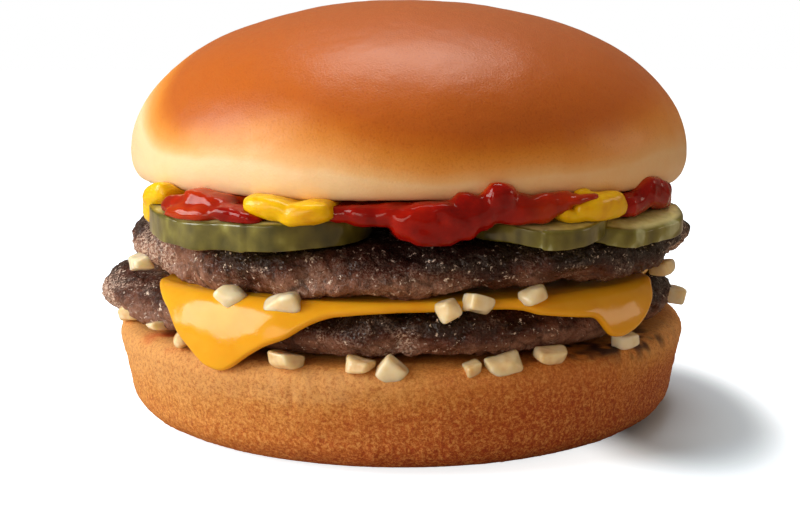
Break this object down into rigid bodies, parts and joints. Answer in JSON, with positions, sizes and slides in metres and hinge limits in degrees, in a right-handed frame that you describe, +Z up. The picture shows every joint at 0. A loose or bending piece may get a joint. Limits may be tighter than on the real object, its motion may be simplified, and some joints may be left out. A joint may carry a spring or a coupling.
{
  "type": "double cheeseburger",
  "caption": "Double cheeseburger: toasted bun, two beef patties with a melted cheese slice between them, pickle slices, diced onion, ketchup and mustard.",
  "frame": {"origin": "centre of the heel's flat base, on the bun's axis", "axes": "+Z up through the stack, -Y towards the front that the picture shows, +X to its right"},
  "size_m": [0.104, 0.1007, 0.0705],
  "materials": {
    "crown_crust": "satin, baked and glazed",
    "heel_crust": "matte, toasted crumb",
    "ground_beef": "rough and moist, grilled",
    "cheese": "smooth, melted",
    "pickle": "wet",
    "ketchup": "wet",
    "mustard": "soft and moist",
    "onion": "wet"
  },
  "bodies": {
    "root": {"crown": "crown_crust", "mustard": "mustard", "ketchup": "ketchup", "pickle_left": "pickle", "pickle_middle": "pickle", "pickle_right": "pickle", "pickle_back": "pickle", "patty_upper": "ground_beef", "cheese": "cheese", "patty_lower": "ground_beef", "heel": "heel_crust", "onion_upper_1": "onion", "onion_upper_2": "onion", "onion_upper_3": "onion", "onion_upper_4": "onion", "onion_upper_5": "onion", "onion_upper_6": "onion", "onion_upper_7": "onion", "onion_upper_8": "onion", "onion_upper_9": "onion", "onion_upper_10": "onion", "onion_upper_11": "onion", "onion_lower_1": "onion", "onion_lower_2": "onion", "onion_lower_3": "onion", "onion_lower_4": "onion", "onion_lower_5": "onion", "onion_lower_6": "onion", "onion_lower_7": "onion", "onion_lower_8": "onion", "onion_lower_9": "onion", "onion_lower_10": "onion", "onion_lower_11": "onion", "onion_lower_12": "onion", "onion_lower_13": "onion", "onion_lower_14": "onion", "onion_lower_15": "onion"}
  },
  "joints": []
}
